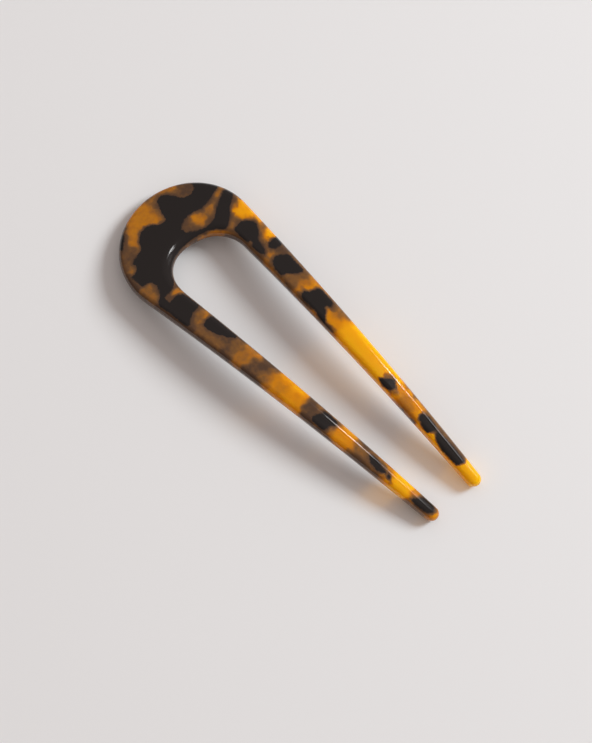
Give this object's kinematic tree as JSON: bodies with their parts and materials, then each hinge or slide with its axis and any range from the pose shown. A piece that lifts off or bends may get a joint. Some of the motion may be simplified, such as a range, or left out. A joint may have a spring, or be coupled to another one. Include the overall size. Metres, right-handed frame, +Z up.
{
  "type": "hairpin",
  "caption": "One-piece U-shaped hairpin in mottled tortoiseshell acetate: a broad round bow running into tapering prongs with rounded tips, gently arched along its length.",
  "frame": {"origin": "on the surface that the pin lies on, under the middle of its box", "axes": "+X along the prongs, from the bow to the tips; +Z up, out of the arch; +Y to the side of the longer prong"},
  "size_m": [0.1044, 0.034, 0.0098],
  "materials": {
    "tortoiseshell_acetate": "polished, mottled from clear amber to near black"
  },
  "bodies": {
    "root": {"hairpin": "tortoiseshell_acetate"}
  },
  "joints": []
}
